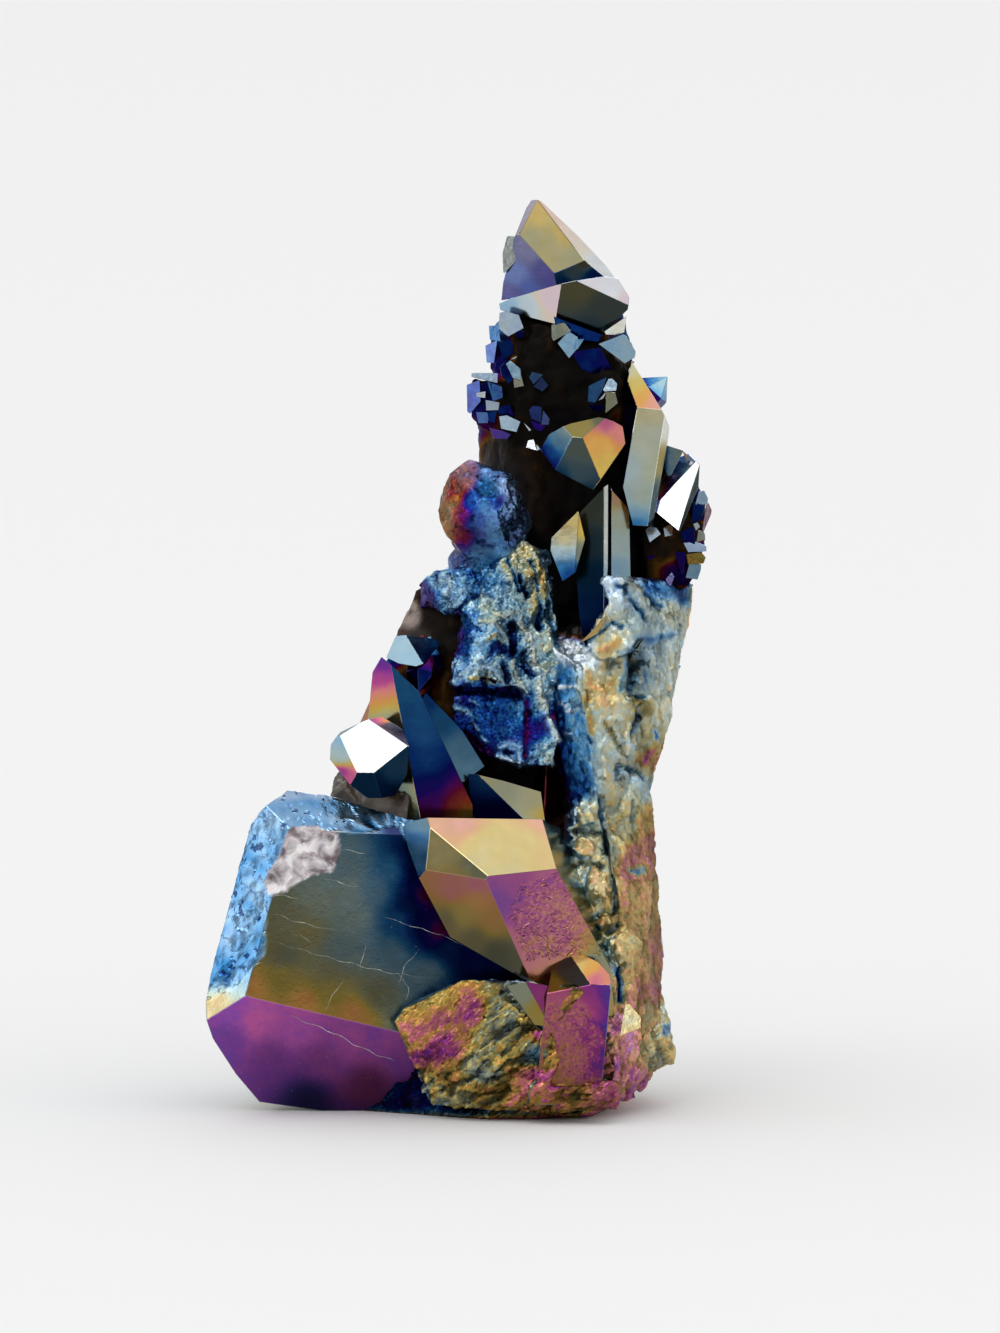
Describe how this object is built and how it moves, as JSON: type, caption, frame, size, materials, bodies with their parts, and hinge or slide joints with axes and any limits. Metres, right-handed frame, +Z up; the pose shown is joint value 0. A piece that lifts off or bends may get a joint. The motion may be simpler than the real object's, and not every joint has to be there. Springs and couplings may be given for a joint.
{
  "type": "aura quartz cluster",
  "caption": "Upright cluster of metal-coated, iridescent quartz crystals on a rock mass, ground flat underneath so that it stands on a shelf.",
  "frame": {"origin": "on the ground-flat underside, near the middle of the face that the cluster stands on", "axes": "+X to the right, +Y away from the viewer and +Z up, seen from the front, where the big gold and magenta crystals face"},
  "size_m": [0.0507, 0.0384, 0.0903],
  "materials": {
    "coated_quartz": "crystal faces mirror-bright under a thin iridescent metal film, in blue, gold, magenta and violet; broken rock rough under the same film"
  },
  "bodies": {
    "root": {"quartz_cluster": "coated_quartz"}
  },
  "joints": []
}
